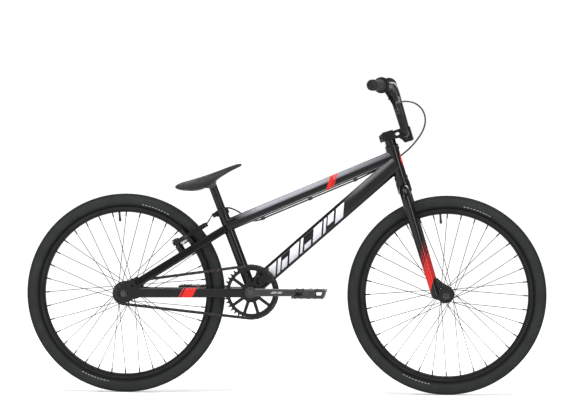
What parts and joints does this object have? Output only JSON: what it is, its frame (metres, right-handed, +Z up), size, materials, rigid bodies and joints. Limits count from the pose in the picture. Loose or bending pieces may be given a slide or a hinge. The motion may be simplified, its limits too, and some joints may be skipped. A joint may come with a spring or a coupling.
{
  "type": "bmx bike",
  "caption": "Cruiser BMX bicycle with welded frame, rigid fork, spoked wheels, chain drive and a lever-worked rear rim brake.",
  "frame": {"origin": "on the ground in the bicycle's middle plane, halfway between the two wheel axles", "axes": "+X forward, +Y to the rider's left, +Z up"},
  "size_m": [1.562, 0.7234, 0.9496],
  "materials": {
    "frame_paint": "gloss",
    "fork_paint": "gloss",
    "tyre_rubber": "matt",
    "tube_rubber": "matt",
    "black_alloy": "satin anodised",
    "rim_alloy": "satin anodised",
    "spoke_steel": "satin",
    "bearing_steel": "bright",
    "chain_steel": "oiled",
    "black_steel": "semi-gloss",
    "bolt_steel": "satin",
    "grip_rubber": "matt",
    "saddle_cover": "textured",
    "pedal_plastic": "satin",
    "cable_housing": "satin",
    "noodle_steel": "bright",
    "pad_rubber": "matt"
  },
  "bodies": {
    "frame": {"head_tube": "frame_paint", "top_tube": "frame_paint", "down_tube": "frame_paint", "seat_tube": "frame_paint", "bottom_bracket_shell": "frame_paint", "chainstays": "frame_paint", "seatstays": "frame_paint", "rear_dropouts": "frame_paint", "headset_cups": "black_alloy", "headset_bearings": "bearing_steel", "seat_clamp": "black_alloy", "bottom_bracket_bearings": "bearing_steel", "rear_axle": "bolt_steel", "cable_guides": "cable_housing", "brake_cable": "cable_housing", "brake_cable_loop": "cable_housing", "brake_pivot_bolts": "bolt_steel", "chain_outer_links": "chain_steel", "chain_inner_links": "chain_steel", "brake_wire": "noodle_steel"},
    "steering": {"steerer_and_crown": "fork_paint", "fork_legs": "fork_paint", "fork_dropouts": "fork_paint", "headset_covers": "black_alloy", "stem": "black_alloy", "stem_faceplate": "black_alloy", "stem_bolts": "bolt_steel", "stem_top_cap": "black_alloy", "handlebar": "black_steel", "grips": "grip_rubber", "bar_end_plugs": "grip_rubber", "brake_lever_clamp": "black_alloy", "front_axle": "bolt_steel"},
    "lever": {"brake_lever": "black_alloy"},
    "front_wheel": {"front_tyre": "tyre_rubber", "front_inner_tube": "tube_rubber", "front_rim": "rim_alloy", "front_spokes": "spoke_steel", "front_hub": "black_alloy"},
    "rear_wheel": {"rear_tyre": "tyre_rubber", "rear_inner_tube": "tube_rubber", "rear_rim": "rim_alloy", "rear_spokes": "spoke_steel", "rear_hub": "black_alloy"},
    "freewheel": {"freewheel_cog": "chain_steel"},
    "crank": {"crank_spindle": "black_steel", "right_crank_arm": "black_steel", "left_crank_arm": "black_steel", "chainring": "black_alloy", "crank_bolts": "bolt_steel", "pedal_spindles": "bolt_steel"},
    "right_pedal_body": {"right_pedal": "pedal_plastic"},
    "left_pedal_body": {"left_pedal": "pedal_plastic"},
    "left_arm": {"left_brake_arm": "black_alloy", "left_brake_pad": "pad_rubber", "brake_noodle": "noodle_steel"},
    "right_arm": {"right_brake_arm": "black_alloy", "right_brake_pad": "pad_rubber"},
    "seatpost_body": {"seatpost": "black_alloy"},
    "saddle_body": {"saddle": "saddle_cover"}
  },
  "joints": [
    {"name": "steer", "type": "hinge", "parent": "frame", "child": "steering", "pos_m": [0.33021, 0, 0.69225], "axis": [-0.2924, 0, 0.9563], "range_deg": [-80, 80], "deforming": ["brake_cable_loop"]},
    {"name": "brake_lever_pull", "type": "hinge", "parent": "steering", "child": "lever", "pos_m": [0.32173, -0.22, 0.88835], "axis": [-0.848, 0, -0.5299], "range_deg": [0, 21], "stiffness_Nm_per_rad": 0.6, "springref_deg": -5.73},
    {"name": "front_wheel_spin", "type": "hinge", "parent": "steering", "child": "front_wheel", "pos_m": [0.4825, 0, 0.2985], "axis": [0, 1, 0], "continuous": true},
    {"name": "rear_wheel_spin", "type": "hinge", "parent": "frame", "child": "rear_wheel", "pos_m": [-0.4825, 0, 0.2985], "axis": [0, 1, 0], "continuous": true},
    {"name": "crank_spin", "type": "hinge", "parent": "frame", "child": "crank", "pos_m": [-0.10123, 0, 0.305], "axis": [0, 1, 0], "continuous": true, "deforming": ["chain_outer_links", "chain_inner_links"]},
    {"name": "cog_spin", "type": "hinge", "parent": "frame", "child": "freewheel", "pos_m": [-0.4825, 0, 0.2985], "axis": [0, 1, 0], "continuous": true},
    {"name": "right_pedal_spin", "type": "hinge", "parent": "crank", "child": "right_pedal_body", "pos_m": [0.07877, -0.133, 0.305], "axis": [0, 1, 0], "continuous": true},
    {"name": "left_pedal_spin", "type": "hinge", "parent": "crank", "child": "left_pedal_body", "pos_m": [-0.28123, 0.133, 0.305], "axis": [0, 1, 0], "continuous": true},
    {"name": "left_arm_swing", "type": "hinge", "parent": "frame", "child": "left_arm", "pos_m": [-0.32903, 0.04, 0.44989], "axis": [-0.5299, 0, 0.848], "range_deg": [-3.4, 0.1], "deforming": ["brake_wire", "brake_cable"]},
    {"name": "right_arm_swing", "type": "hinge", "parent": "frame", "child": "right_arm", "pos_m": [-0.32903, -0.04, 0.44989], "axis": [-0.5299, 0, 0.848], "range_deg": [-0.1, 3.4]},
    {"name": "seatpost_height", "type": "slide", "parent": "frame", "child": "seatpost_body", "axis": [-0.3584, 0, 0.9336], "range_m": [-0.04, 0.02]},
    {"name": "saddle_tilt", "type": "hinge", "parent": "seatpost_body", "child": "saddle_body", "pos_m": [-0.23074, 0, 0.64055], "axis": [0, 1, 0], "range_deg": [-8, 8]}
  ],
  "couplings": [
    {"joint": "cog_spin", "follows": "crank_spin", "ratio": 2.4375},
    {"joint": "left_arm_swing", "follows": "brake_lever_pull", "ratio": -0.15714},
    {"joint": "right_arm_swing", "follows": "brake_lever_pull", "ratio": 0.15714}
  ]
}
